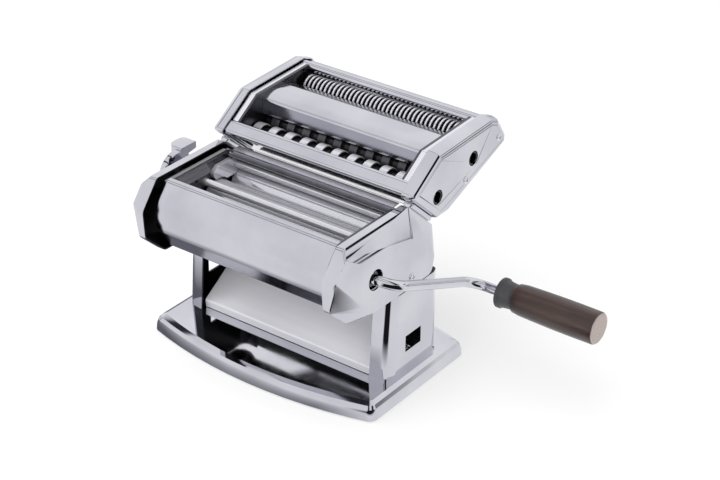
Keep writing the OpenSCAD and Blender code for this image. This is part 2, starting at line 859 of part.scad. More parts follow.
cut_posts = [[cut_pitch / 2 + 10.6, -11], [cut_end + 16, -5.5]];
ring_r = ring_d / 2;
rail_r = 4;
rail_at = [cut_end + 10.5, ring_r + 0.4];
sheet_in = 1.6;
cut_line = inset(cut_outline, sheet_in);
guide_path = bent([
    [-ring_r * 0.6, ring_r + 0.6], cut_line[1] + 0.327 * (cut_line[0] - cut_line[1]), cut_line[1],
    cut_line[2] + 8 * turn(-slope_dir, -cut_tilt)
], [4, 2.5]);
centre_path = bent([
    [cut_pitch + ring_r * 0.43, ring_r + 2.4], [cut_pitch - ring_r * 0.5, ring_r + 8.4],
    [cut_pitch * 0.6, ring_r + 13.6], [cut_pitch * 0.33, ring_r + 13.4],
    [cut_pitch * 0.245, ring_r + 1.5]
], [7, 40, 2.5]);
skirt_path = bent([
    cut_line[4] - [9, 0], cut_line[4], cut_line[5], cut_line[6], rail_at + [2.5, 1.5]
], [3, 5, 5]);

module cutter_plate_form(driver_bore) {
    difference() {
        union() {
            slab(cut_plate_in, cut_plate_t)
                polygon(rounded(inset(cut_outline, sheet_in + cover_t + slip), cut_round));
            for (p = cut_posts)
                bar_x(cut_plate_in, cut_out - sheet_t - cut_plate_in, 6, p[0], p[1]);
        }
        for (u = [0, cut_pitch])
            bar_x(cut_plate_in - over, 6, driver_bore + 2 * run_fit, u, 0);
        for (u = [cut_centres, cut_end])
            bar_x(cut_plate_in - over, 6, follower_d + 2 * run_fit, u, 0);
        for (path = [guide_path, centre_path, skirt_path])
            sheet_slot(cut_plate_in, cut_plate_t, path);
        bar_x(cut_plate_in - over, 6, 2 * (rail_r + slip), rail_at[0], rail_at[1]);
    }
}

module cutter_right_plate() {
    color(c_steel) cutter_place() cutter_plate_form(driver_d);
}

module cutter_left_plate() {
    color(c_steel) cutter_place() mirror([1, 0, 0]) cutter_plate_form(follower_d);
}

module cutter_screws() {
    color(c_steel) cutter_place() both_ends() for (p = cut_posts)
        translate([cut_out, p[0], p[1]]) rotate([0, 90, 0])
            rotate_extrude() polygon([[0, 0], [3, 0], [2.8, 0.7], [1.6, 1.3], [0, 1.4]]);
}

// Ring cutters: the rings of one shaft run in the grooves of the other

ring_play = 0.2;

module ring_cutter(u, strip, odd, shaft, right_end) {
    r = ring_d / 2;
    core = r - ring_depth;
    count = floor(roller_len / (2 * strip) + 0.001);
    start = odd * strip - count * strip;
    rings = [
        for (k = [0 : count - 1]) let (a = start + 2 * strip * k)
            each [[core, a + ring_play], [r, a + ring_play],
                  [r, a + strip - ring_play], [core, a + strip - ring_play]]
    ];
    translate([0, u, 0]) rotate([0, 90, 0]) rotate_extrude() polygon(concat(
        [[0, -frame_out - 2], [follower_d / 2, -frame_out - 2], [follower_d / 2, -roller_end],
         [core, -roller_end]],
        rings,
        [[core, roller_end], [shaft / 2, roller_end], [shaft / 2, right_end], [0, right_end]]
    ));
}

module driven_cutter(u, strip) {
    color(c_chrome) cutter_place() difference() {
        ring_cutter(u, strip, 0, driver_d, driver_end);
        socket_hole(driver_end, u, 0);
    }
}

module idle_cutter(u, strip) {
    color(c_chrome) cutter_place()
        ring_cutter(u, strip, 1, follower_d, cut_gear_x + gear_w + 0.5);
}

module wide_driver() { driven_cutter(0, wide_strip); }

module wide_follower() { idle_cutter(cut_centres, wide_strip); }

module fine_driver() { driven_cutter(cut_pitch, fine_strip); }

module fine_follower() { idle_cutter(cut_end, fine_strip); }

module cutter_gear(u, bore, phase) {
    color(c_steel) cutter_place()
        gear(cut_gear_x, u, 0, cut_teeth, cut_m, tooth_fill, bore, phase);
}

module wide_driver_gear() { cutter_gear(0, driver_d, 0); }

module wide_follower_gear() { cutter_gear(cut_centres, follower_d, 180 / cut_teeth); }

module fine_driver_gear() { cutter_gear(cut_pitch, driver_d, 0); }

module fine_follower_gear() { cutter_gear(cut_end, follower_d, 180 / cut_teeth); }

// Combs that lift the strips out of the grooves

comb_t = 1;

module comb(u, strip) {
    reach = ring_d / 2 - ring_depth + 0.5;
    count = floor(roller_len / (2 * strip) + 0.001);
    finger = strip - 4 * ring_play;
    low = -ring_d / 2 - 3;
    for (s = [0, 1]) {
        at = u + s * cut_centres;
        side = s == 0 ? -1 : 1;
        for (k = [0 : count - 1]) {
            x = (1 - s) * strip - count * strip + 2 * strip * k + 2 * ring_play;
            slab(x, finger) polygon([
                [at + side * 1, -reach - 0.3], [at + side * 2.4, -reach - 0.3],
                [at + side * 2.4, low + comb_t], [at + side * 1, low + comb_t]
            ]);
        }
        slab(-frame_in, 2 * frame_in) polygon([
            [at + side * 0.5, low], [at + side * 6, low],
            [at + side * 6, low + comb_t + slice], [at + side * 0.5, low + comb_t + slice]
        ]);
    }
}

module wide_comb() { color(c_steel) cutter_place() comb(0, wide_strip); }

module fine_comb() { color(c_steel) cutter_place() comb(cut_pitch, fine_strip); }

// Sheet guides and the back rail of the cutter head

guide_end = cut_in + 2.5;

module cutter_sheet(path) {
    slab(-guide_end, 2 * guide_end) polygon(sheet_outline(path, cover_t));
}

module cutter_front_guide() {
    color(c_chrome) cutter_place() cutter_sheet(guide_path);
}

module cutter_centre_cover() {
    color(c_chrome) cutter_place() cutter_sheet(centre_path);
}

module cutter_back_rail() {
    color(c_chrome) cutter_place() {
        cutter_sheet(skirt_path);
        bar_x(-cut_in, 2 * cut_in, 2 * rail_r, rail_at[0], rail_at[1]);
    }
}

// Dovetail rails on the head's back slope and the shoes that run on them

rail_h = 3;
rail_start = 3;
rail_len = 33;
rail_x = (rim_in + rim_out) / 2;
dovetail = [1.7, 2.6];

module on_slope(along) {
    at = top_rear + along * slope_dir;
    translate([rail_x, at[0], at[1]]) rotate([-back_slope, 0, 0]) children();
}

module along_slope(length) {
    rotate([-90, 0, 0]) mirror([0, 1, 0]) linear_extrude(length) children();
}

module cutter_rails() {
    color(c_chrome) both_ends() on_slope(rail_start) along_slope(rail_len) polygon([
        [-dovetail[0], 0], [dovetail[0], 0], [dovetail[1], rail_h], [-dovetail[1], rail_h]
    ]);
}

module cutter_shoes() {
    wide = 4.1;
    lift = 0.6;
    color(c_chrome) both_ends() on_slope(rail_start + 1) difference() {
        along_slope(rail_len - 2) polygon([
            [-wide, lift], [wide, lift], [wide, cut_gap], [-wide, cut_gap]
        ]);
        translate([0, -over, 0]) along_slope(rail_len + over) polygon([
            [-dovetail[0] - slip, 0], [dovetail[0] + slip, 0],
            [dovetail[1] + 2 * slip, rail_h + slip], [-dovetail[1] - 2 * slip, rail_h + slip]
        ]);
    }
}

base_plate();
base_feet();
left_side_panel();
right_side_panel();
left_frame_plate();
right_frame_plate();
tie_rods();
front_cover();
rear_cover();
chute_plate();
left_dough_guide();
right_dough_guide();
front_scraper();
rear_scraper();
rear_roller_bushes();
drive_bush();
panel_posts();
panel_screws();
foot_screws();
cutter_rails();
left_bearing_block();
right_bearing_block();
front_roller();
front_roller_gear();
rear_roller();
rear_roller_gear();
adjust_shaft();
adjust_cams();
dial();
dial_screw();
drive_shaft();
drive_pinion();
crank_rod();
crank_collar();
crank_grip();
cutter_left_cap();
cutter_right_cap();
cutter_left_plate();
cutter_right_plate();
cutter_front_guide();
cutter_centre_cover();
cutter_back_rail();
cutter_shoes();
wide_comb();
fine_comb();
cutter_screws();
wide_driver();
wide_driver_gear();
wide_follower();
wide_follower_gear();
fine_driver();
fine_driver_gear();
fine_follower();
fine_follower_gear();
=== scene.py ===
import json
import math

import bmesh
import bpy
from mathutils import Matrix, Vector

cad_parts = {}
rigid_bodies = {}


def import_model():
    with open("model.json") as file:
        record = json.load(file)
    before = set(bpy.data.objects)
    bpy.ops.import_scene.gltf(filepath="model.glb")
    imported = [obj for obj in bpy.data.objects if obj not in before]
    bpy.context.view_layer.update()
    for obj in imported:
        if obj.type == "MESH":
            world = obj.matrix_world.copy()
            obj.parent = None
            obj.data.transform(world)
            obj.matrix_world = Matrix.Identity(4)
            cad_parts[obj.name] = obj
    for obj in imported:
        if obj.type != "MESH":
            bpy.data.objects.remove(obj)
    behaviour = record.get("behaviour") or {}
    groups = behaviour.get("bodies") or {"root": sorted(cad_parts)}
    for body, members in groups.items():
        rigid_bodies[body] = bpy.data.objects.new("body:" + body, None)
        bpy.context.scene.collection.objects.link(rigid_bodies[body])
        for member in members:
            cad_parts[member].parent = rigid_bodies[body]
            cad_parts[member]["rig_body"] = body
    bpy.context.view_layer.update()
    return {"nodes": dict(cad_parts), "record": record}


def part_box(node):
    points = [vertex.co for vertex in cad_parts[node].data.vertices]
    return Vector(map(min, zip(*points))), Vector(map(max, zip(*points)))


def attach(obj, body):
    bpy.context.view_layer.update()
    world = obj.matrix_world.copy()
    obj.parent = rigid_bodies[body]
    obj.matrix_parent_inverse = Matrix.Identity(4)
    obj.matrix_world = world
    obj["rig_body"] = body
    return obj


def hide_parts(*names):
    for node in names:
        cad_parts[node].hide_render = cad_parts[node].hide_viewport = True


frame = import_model()
nodes = frame["nodes"]
slotOf = {row["node"]: row["material_slot"] for row in frame["record"]["subparts"]}
scene = bpy.context.scene
scene.view_settings.view_transform = "Standard"
print("frame loaded:", len(nodes), "nodes")


# a socket that takes part in plain expressions
class Wire:
    def __init__(self, desk, socket):
        self.desk = desk
        self.socket = socket

    def math(self, operation, *others):
        return self.desk.add("ShaderNodeMath", {"operation": operation}, dict(enumerate((self, *others))))

    def __add__(self, other): return self.math("ADD", other)
    def __radd__(self, other): return self.math("ADD", other)
    def __sub__(self, other): return self.math("SUBTRACT", other)
    def __mul__(self, other): return self.math("MULTIPLY", other)
    def __rmul__(self, other): return self.math("MULTIPLY", other)
    def __truediv__(self, other): return self.math("DIVIDE", other)

    def __rsub__(self, other):
        return self.desk.add("ShaderNodeMath", {"operation": "SUBTRACT"}, {0: other, 1: self})


# adds nodes to the tree of a material, a world or a geometry group
class Desk:
    def __init__(self, owner):
        self.owner = owner
        if hasattr(owner, "use_nodes"):
            owner.use_nodes = True
        self.tree = getattr(owner, "node_tree", owner)

    def add(self, kind, settings=None, inputs=None, output=0):
        node = self.tree.nodes.new(kind)
        for key, value in (settings or {}).items():
            if key == "stops":
                ramp = node.color_ramp
                while len(ramp.elements) < len(value):
                    ramp.elements.new(0.5)
                for element, (place, colour) in zip(ramp.elements, value):
                    element.position = place
                    element.color = (*colour, 1)
            else:
                setattr(node, key, value)
        for key, value in (inputs or {}).items():
            self.feed(node.inputs[key], value)
        return Wire(self, node.outputs[output])

    def feed(self, socket, value):
        if isinstance(value, list):
            for one in value:
                self.feed(socket, one)
        elif isinstance(value, Wire):
            self.tree.links.new(value.socket, socket)
        elif hasattr(socket.default_value, "__len__") and len(socket.default_value) == 4 and len(value) == 3:
            socket.default_value = (*value, 1)
        else:
            socket.default_value = value

    def place(self, scale=(1, 1, 1), move=(0, 0, 0)):
        where = self.add("ShaderNodeTexCoord", output="Object")
        return self.add("ShaderNodeMapping", {}, {"Vector": where, "Scale": scale, "Location": move})

    def split(self, vector):
        parted = self.add("ShaderNodeSeparateXYZ", {}, {"Vector": vector})
        return [Wire(self, socket) for socket in parted.socket.node.outputs]

    def noise(self, at, scale=1.0, detail=2.0, rough=0.5):
        sockets = {"Vector": at, "Scale": scale, "Detail": detail, "Roughness": rough}
        return self.add("ShaderNodeTexNoise", {}, sockets, "Fac")

    def range(self, value, low, high, newLow=0.0, newHigh=1.0):
        sockets = {"Value": value, "From Min": low, "From Max": high, "To Min": newLow, "To Max": newHigh}
        return self.add("ShaderNodeMapRange", {}, sockets)

    def ramp(self, value, stops):
        return self.add("ShaderNodeValToRGB", {"stops": stops}, {"Fac": value})

    # the colour sockets share their names with those for numbers and vectors, so they go by place
    def mix(self, share, first, second):
        return self.add("ShaderNodeMix", {"data_type": "RGBA"}, {"Factor": share, 6: first, 7: second}, 2)

    # one on faces that look back at the given point, nought elsewhere; the mask of the painted shade on inner
    # faces
    def inward(self, centre):
        where = self.add("ShaderNodeTexCoord", output="Object")
        away = self.add("ShaderNodeVectorMath", {"operation": "SUBTRACT"}, {0: where, 1: centre})
        normal = self.add("ShaderNodeNewGeometry", output="True Normal")
        dot = self.add("ShaderNodeVectorMath", {"operation": "DOT_PRODUCT"}, {0: away, 1: normal}, "Value")
        return self.range(dot, *paintedInsideShade["depth"])

    def bump(self, height, strength, distance):
        return self.add("ShaderNodeBump", {}, {"Height": height, "Strength": strength, "Distance": distance})

    def surface(self, **sockets):
        shader = self.tree.nodes["Principled BSDF"]
        for key, value in sockets.items():
            self.feed(shader.inputs[key.replace("_", " ")], value)
        return self.owner


def newDesk(name):
    return Desk(bpy.data.materials.new(name))


# where most of a noise lies, and the painted shade on the inner faces of a pressing: its dark tone, its added
# roughness and the depth over which it fades in
spread = (0.3, 0.7)
paintedInsideShade = {"tone": (0.045, 0.045, 0.052), "gloss": 0.25, "depth": (-0.003, -0.008)}

# plated pressings: bright, with a faint swell of the sheet and finger haze
plating = {"cloud": 22, "haze": 160, "sheet": 34, "share": (0.7, 0.3), "spread": (0.35, 0.65), "relief": 0.001}
chromeLook = {
    "bright": (0.635, 0.632, 0.672), "dim": (0.555, 0.552, 0.598), "gloss": (0.03, 0.085), "swell": 0.035,
}
satinLook = {
    "bright": (0.62, 0.622, 0.662), "dim": (0.545, 0.545, 0.592), "gloss": (0.11, 0.19), "swell": 0.06,
}


def makeChrome(name, look, hollow=None):
    desk = newDesk(name)
    at = desk.place()
    cloud = desk.noise(at, plating["cloud"], 3)
    haze = desk.noise(at, plating["haze"], 4, 0.6)
    blotch = cloud * plating["share"][0] + haze * plating["share"][1]
    gloss = desk.range(blotch, *plating["spread"], *look["gloss"])
    tone = desk.mix(desk.range(cloud, *plating["spread"]), look["bright"], look["dim"])
    # inner faces that look back at the hollow get painted shade: a dark tone, and a rougher gloss
    if hollow:
        paintedShade = desk.inward(hollow)
        tone = desk.mix(paintedShade, tone, paintedInsideShade["tone"])
        gloss = gloss + paintedShade * paintedInsideShade["gloss"]
    swell = desk.bump(desk.noise(at, plating["sheet"], 1), look["swell"], plating["relief"])
    return desk.surface(Base_Color=tone, Metallic=1.0, Roughness=gloss, Normal=swell)


# the chute is a pale satin sheet with a faint grain along its length, and painted shade on its underside
chuteLook = {
    "bright": (0.73, 0.728, 0.765), "dim": (0.67, 0.667, 0.71), "metal": 0.25,
    "grain": (6, 90, 90), "gloss": (0.34, 0.42),
}


def makeRolledSheet(name, hollow):
    desk = newDesk(name)
    lines = desk.noise(desk.place(chuteLook["grain"]))
    outer = desk.mix(desk.range(lines, *spread), chuteLook["bright"], chuteLook["dim"])
    # faces that look back at the point under the chute take the dark inside tone: painted shade
    tone = desk.mix(desk.inward(hollow), outer, paintedInsideShade["tone"])
    return desk.surface(Base_Color=tone, Metallic=chuteLook["metal"],
                        Roughness=desk.range(lines, *spread, *chuteLook["gloss"]))


# turned and ground steel: fine lines round the axis of the rollers and cutters
turning = {"lines": (900, 40, 40), "cloud": 30, "share": (0.6, 0.4), "bump": (0.03, 0.0002)}


def turnedLines(desk):
    return desk.noise(desk.place(turning["lines"]), 1.0, 3, 0.6)


def makeSteel(name, low, high, gloss, metal=1.0):
    desk = newDesk(name)
    lines = turnedLines(desk)
    cloud = desk.noise(desk.place(), turning["cloud"])
    tone = desk.mix(desk.range(lines, *spread), low, high)
    blotch = lines * turning["share"][0] + cloud * turning["share"][1]
    return desk.surface(Base_Color=tone, Metallic=metal, Roughness=desk.range(blotch, *spread, *gloss),
                        Normal=desk.bump(lines, *turning["bump"]))


# cutter rings: bright on the rim, with painted shade down in the grooves
ringsWithGrooveShade = {"depth": (0.0013, 0.0005), "tone": (0.012, 0.012, 0.014), "metal": 0.5, "gloss": (0.12, 0.24)}


def makeRings(node, low, high):
    desk = newDesk(node + "Rings")
    start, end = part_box(node)
    toAxis = (0, -(start.y + end.y) / 2, -(start.z + end.z) / 2)
    x, y, z = desk.split(desk.place(move=toAxis))
    outer = (end.y - start.y) / 2
    floor, top = (outer - depth for depth in ringsWithGrooveShade["depth"])
    # the mask of the painted groove shade: nought down in the grooves, one on the rims
    rim = desk.range((y * y + z * z).math("SQRT"), floor, top)
    lines = turnedLines(desk)
    tone = desk.mix(rim, ringsWithGrooveShade["tone"], desk.mix(lines, low, high))
    return desk.surface(Base_Color=tone, Metallic=ringsWithGrooveShade["metal"],
                        Roughness=desk.range(lines, *spread, *ringsWithGrooveShade["gloss"]))


bronzeLook = {
    "lines": (900, 60, 60), "low": (0.42, 0.28, 0.11), "high": (0.58, 0.42, 0.19), "gloss": (0.25, 0.4),
}


def makeBronze(name):
    desk = newDesk(name)
    lines = desk.noise(desk.place(bronzeLook["lines"]))
    tone = desk.mix(lines, bronzeLook["low"], bronzeLook["high"])
    return desk.surface(Base_Color=tone, Metallic=1.0,
                        Roughness=desk.range(lines, *spread, *bronzeLook["gloss"]))


collarLook = {
    "grain": 900, "cloud": 90, "low": (0.026, 0.026, 0.029), "high": (0.048, 0.048, 0.052),
    "gloss": (0.36, 0.50), "bump": (0.12, 0.0002),
}


def makeCollar(name):
    desk = newDesk(name)
    grain = desk.noise(desk.place(), collarLook["grain"])
    cloud = desk.noise(desk.place(), collarLook["cloud"])
    tone = desk.mix(cloud, collarLook["low"], collarLook["high"])
    return desk.surface(Base_Color=tone, Roughness=desk.range(cloud, *spread, *collarLook["gloss"]),
                        Normal=desk.bump(grain, *collarLook["bump"]))


# stained hardwood: long streaks, open pores, rings on the cut end
woodLook = {
    "toAxis": (0, -0.0566, -0.0683), "streak": (9, 120, 120), "pores": (60, 1500, 1500), "warp": (4, 40, 40),
    "share": (0.75, 0.25),
    "body": [(0.30, (0.010, 0.0045, 0.003)), (0.48, (0.027, 0.0118, 0.008)),
             (0.62, (0.050, 0.0235, 0.016)), (0.78, (0.082, 0.046, 0.033))],
    "pit": (0.58, 0.68), "pitShare": 0.55, "pitTone": (0.006, 0.0035, 0.003),
    "rings": {"Scale": 210, "Distortion": 5, "Detail": 3, "Detail Scale": 1.4},
    "end": ((0.30, 0.235, 0.205), (0.46, 0.39, 0.355)), "endDepth": (0.0012, 0.0004),
    "gloss": (0.2, 0.7, 0.46, 0.32), "pitGloss": 0.2, "relief": 0.5, "bump": (0.25, 0.0004),
    "varnish": 0.3, "varnishGloss": 0.22,
}


def makeWood(name, endX):
    desk = newDesk(name)
    streak = desk.noise(desk.place(woodLook["streak"]), 1.0, 6, 0.65)
    pores = desk.noise(desk.place(woodLook["pores"]))
    warp = desk.noise(desk.place(woodLook["warp"]))
    along = desk.split(desk.place())[0]
    rings = desk.add("ShaderNodeTexWave", {"wave_type": "RINGS", "rings_direction": "X"},
                     {"Vector": desk.place(move=woodLook["toAxis"]), **woodLook["rings"]}, "Fac")
    body = desk.ramp(streak * woodLook["share"][0] + warp * woodLook["share"][1], woodLook["body"])
    pit = desk.range(pores, *woodLook["pit"])
    side = desk.mix(pit * woodLook["pitShare"], body, woodLook["pitTone"])
    end = desk.mix(rings, *woodLook["end"])
    tone = desk.mix(desk.range(along, *(endX - depth for depth in woodLook["endDepth"])), side, end)
    relief = streak * woodLook["relief"] - pit * woodLook["relief"]
    return desk.surface(Base_Color=tone, Normal=desk.bump(relief, *woodLook["bump"]),
                        Roughness=desk.range(streak - pit * woodLook["pitGloss"], *woodLook["gloss"]),
                        Coat_Weight=woodLook["varnish"], Coat_Roughness=woodLook["varnishGloss"])


rubberLook = {
    "grain": 700, "low": (0.012, 0.012, 0.012), "high": (0.030, 0.030, 0.030),
    "gloss": (0.6, 0.8), "bump": (0.2, 0.0003),
}


def makeRubber(name):
    desk = newDesk(name)
    grain = desk.noise(desk.place(), rubberLook["grain"], 3)
    tone = desk.mix(grain, rubberLook["low"], rubberLook["high"])
    return desk.surface(Base_Color=tone, Roughness=desk.range(grain, *spread, *rubberLook["gloss"]),
                        Normal=desk.bump(grain, *rubberLook["bump"]))


inkLook = {
    "wear": 600, "spread": (0.35, 0.7), "low": (0.010, 0.010, 0.012), "high": (0.040, 0.040, 0.044),
    "gloss": (0.45, 0.62),
}


def makeInk(name):
    desk = newDesk(name)
    wear = desk.noise(desk.place(), inkLook["wear"], 3)
    tone = desk.mix(desk.range(wear, *inkLook["spread"]), inkLook["low"], inkLook["high"])
    return desk.surface(Base_Color=tone, Roughness=desk.range(wear, *spread, *inkLook["gloss"]))


finishes = {
    "chrome": makeChrome("brightChrome", chromeLook),
    # the bright steel plates sit inside the head and get a dark tone, which is painted shade
    "bright_steel": makeSteel("shadedPlateSteel", (0.085, 0.085, 0.095), (0.14, 0.14, 0.155), (0.20, 0.34)),
    "bush_bronze": makeBronze("turnedBronze"),
    "collar_dark": makeCollar("collarPlastic"),
    "grip_wood": makeWood("gripWood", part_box("crank_grip")[1].x),
    "foot_rubber": makeRubber("footRubber"),
}
headMiddle, underChute = (0, -0.020, 0.112), (0, 0.010, 0.0)
headChrome = makeChrome("headChrome", chromeLook, headMiddle)
groundSteel = makeSteel("groundSteel", (0.66, 0.655, 0.70), (0.75, 0.745, 0.79), (0.05, 0.11), 0.6)
# two copies of the ring steel: a bright one, and a darker one whose darkness is painted shade
brightRings = ((0.66, 0.655, 0.70), (0.76, 0.755, 0.80))
shadedRings = ((0.045, 0.045, 0.052), (0.075, 0.075, 0.085))
ownFinish = {
    "front_cover": makeChrome("satinChrome", satinLook, headMiddle),
    "chute_plate": makeRolledSheet("paleSheet", underChute),
    "cutter_centre_cover": makeChrome("cutterSatin", satinLook),
    **{name: headChrome for name in ("rear_cover", "left_side_panel", "right_side_panel")},
    **{name: groundSteel for name in ("front_roller", "rear_roller", "left_dough_guide", "right_dough_guide",
                                      "tie_rods", "adjust_shaft")},
    **{name: makeRings(name, *brightRings) for name in ("wide_driver", "fine_follower")},
    **{name: makeRings(name, *shadedRings) for name in ("wide_follower", "fine_driver")},
}
dialInk = makeInk("dialInk")
print("finishes made:", len(finishes) + len(set(ownFinish.values())) + 1)


def addPiece(name, data, finish):
    data.materials.clear()
    data.materials.append(finish)
    piece = bpy.data.objects.new(name, data)
    scene.collection.objects.link(piece)
    return piece


def solidOf(thing):
    return bpy.data.meshes.new_from_object(thing.evaluated_get(bpy.context.evaluated_depsgraph_get()))


def toData(mesh, name):
    data = bpy.data.meshes.new(name)
    mesh.to_mesh(data)
    mesh.free()
    return data


# every CAD solid as one welded shell with its edges broken; a pressing gets wider bends
edgeWork = {"weld": 0.000004, "flat": 0.6, "corner": 32, "width": 0.00035, "steps": 2, "room": 0.4}
panelWork = {"weld": 0.00003, "corner": 48, "width": 0.0012, "steps": 3, "border": 0.0021}
capWork = {**panelWork, "width": 0.0010, "border": 0.0014}
sheetWork = {"weld": 0.00003, "corner": 22, "width": 0.0009, "steps": 4}
pressWork = {
    "base_plate": {"weld": 0.00003, "corner": 19, "width": 0.0012, "steps": 3},
    **{name: panelWork for name in ("left_side_panel", "right_side_panel")},
    **{name: capWork for name in ("cutter_left_cap", "cutter_right_cap")},
    **{name: sheetWork for name in ("cutter_front_guide", "cutter_back_rail", "front_cover", "rear_cover")},
}
shortestEdge = 0.00005


def roomBeside(edge):
    return min(face.calc_area() / max(edge.calc_length(), shortestEdge) for face in edge.link_faces)


# every large flat that doesn't look down gets a narrow border, so that the shading turns there;
# the smallest are taken first, so that each run makes the same mesh
borders = {"area": 0.00003, "down": -0.7, "level": 0.9995, "room": 1.6}


def addBorders(mesh, border):
    large = [face for face in mesh.faces
             if face.calc_area() > borders["area"] and face.normal.z > borders["down"]]
    left = dict.fromkeys(sorted(large, key=lambda face: face.calc_area()))
    while left:
        seed = next(iter(left))
        del left[seed]
        flat, edge = {seed: True}, [seed]
        while edge:
            for side in edge.pop().edges:
                for face in side.link_faces:
                    if face in left and face.normal.dot(seed.normal) > borders["level"]:
                        del left[face]
                        flat[face] = True
                        edge.append(face)
        rim = sum(side.calc_length() for face in flat for side in face.edges
                  if sum(other in flat for other in side.link_faces) == 1)
        if sum(face.calc_area() for face in flat) > borders["room"] * border * rim:
            bmesh.ops.inset_region(mesh, faces=list(flat), thickness=border,
                                   use_even_offset=True, use_boundary=True)


# crank: one round bar through two easy bends, with the cross key near its tip
crank = {
    "axis": (-0.0428, 0.1105), "tip": 0.0784, "end": 0.2140, "elbow": 0.1120, "arm": 0.1080, "tilt": 23,
    "radius": 0.0040, "bend": 0.0150, "sides": 40, "steps": 20,
    "key": (0.0034, 0.0024, 0.0104), "keyAt": 0.0919,
}


def bendRod():
    bend, elbow, arm, radius = (crank[key] for key in ("bend", "elbow", "arm", "radius"))
    line = [(crank["tip"], 0, 0)]
    for i in range(crank["steps"] + 1):
        a = math.pi / 2 * i / crank["steps"]
        line.append((elbow - bend + bend * math.sin(a), bend - bend * math.cos(a), a))
    for i in range(crank["steps"] + 1):
        a = math.pi / 2 * (1 - i / crank["steps"])
        line.append((elbow + bend - bend * math.sin(a), arm - bend + bend * math.cos(a), a))
    line.append((crank["end"], arm, 0))
    seat = Matrix.Translation((0, *crank["axis"]))
    place = seat @ Matrix.Rotation(math.radians(-crank["tilt"]), 4, "X")
    mesh = bmesh.new()
    rings = []
    for x, y, a in line:
        ring = []
        for k in range(crank["sides"]):
            turn = 2 * math.pi * k / crank["sides"]
            side, rise = radius * math.cos(turn), radius * math.sin(turn)
            ring.append(mesh.verts.new(place @ Vector((x - side * math.sin(a), y + side * math.cos(a), rise))))
        rings.append(ring)
    for one, two in zip(rings, rings[1:]):
        for k in range(crank["sides"]):
            mesh.faces.new((one[k], one[k - 1], two[k - 1], two[k]))
    mesh.faces.new(rings[0])
    mesh.faces.new(rings[-1])
    keyPlace = seat @ Matrix.Translation((crank["keyAt"], 0, 0)) @ Matrix.Diagonal((*crank["key"], 1))
    bmesh.ops.create_cube(mesh, size=1, matrix=keyPlace)
    bmesh.ops.recalc_face_normals(mesh, faces=mesh.faces)
    return mesh


def weldShell(name, work):
    mesh = bmesh.new()
    mesh.from_mesh(nodes[name].data)
    bmesh.ops.remove_doubles(mesh, verts=mesh.verts, dist=work["weld"])
    bmesh.ops.dissolve_limit(mesh, angle_limit=math.radians(work["flat"]), verts=mesh.verts, edges=mesh.edges)
    if "border" in work:
        addBorders(mesh, work["border"])
    return mesh


def polish(name):
    work = {**edgeWork, **pressWork.get(name, {})}
    corner = math.radians(work["corner"])
    mesh = bendRod() if name == "crank_rod" else weldShell(name, work)
    share = mesh.edges.layers.float.new("bevel_weight_edge")
    for face in mesh.faces:
        face.smooth = True
    for edge in mesh.edges:
        if edge.is_manifold and edge.calc_face_angle(0) > corner:
            edge[share] = min(1.0, work["room"] * roomBeside(edge) / work["width"])
    finish = ownFinish.get(name, finishes[slotOf[name]])
    piece = addPiece(name + "_shell", toData(mesh, name + "_shell"), finish)
    bevel = piece.modifiers.new("brokenEdge", "BEVEL")
    bevel.width = work["width"]
    bevel.segments = work["steps"]
    bevel.limit_method = "WEIGHT"
    bevel.use_clamp_overlap = True
    bevel.miter_outer = "MITER_ARC"
    if name != "crank_rod":  # its bends are smooth already
        weigh = piece.modifiers.new("flatFaces", "WEIGHTED_NORMAL")
        weigh.keep_sharp = False
    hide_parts(name)
    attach(piece, nodes[name]["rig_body"])
    return piece


# screws: cross-recess heads set on the seats of the CAD screws
screws = {
    "foot_screws": {"radius": 0.0032, "height": 0.0021, "shank": 0.0004, "out": (0, 0, 1)},
    "panel_screws": {"radius": 0.0034, "height": 0.0016, "shank": 0.0120, "out": (1, 0, 0)},
    "cutter_screws": {"radius": 0.0030, "height": 0.0014, "shank": 0.0004, "out": (1, 0, 0)},
    "dial_screw": {"radius": 0.0040, "height": 0.0020, "shank": 0.0004, "out": (1, 0, 0)},
}
# shares of the head's radius and height, and where a screw's crown ends and its edges show
crossHead = {
    "segments": 32, "rings": 16, "under": 4, "long": 1.25, "narrow": 0.24, "tall": 1.5, "rise": 1.15,
    "stem": 0.58, "stemSides": 24, "crown": 0.0003, "sharp": 35,
}


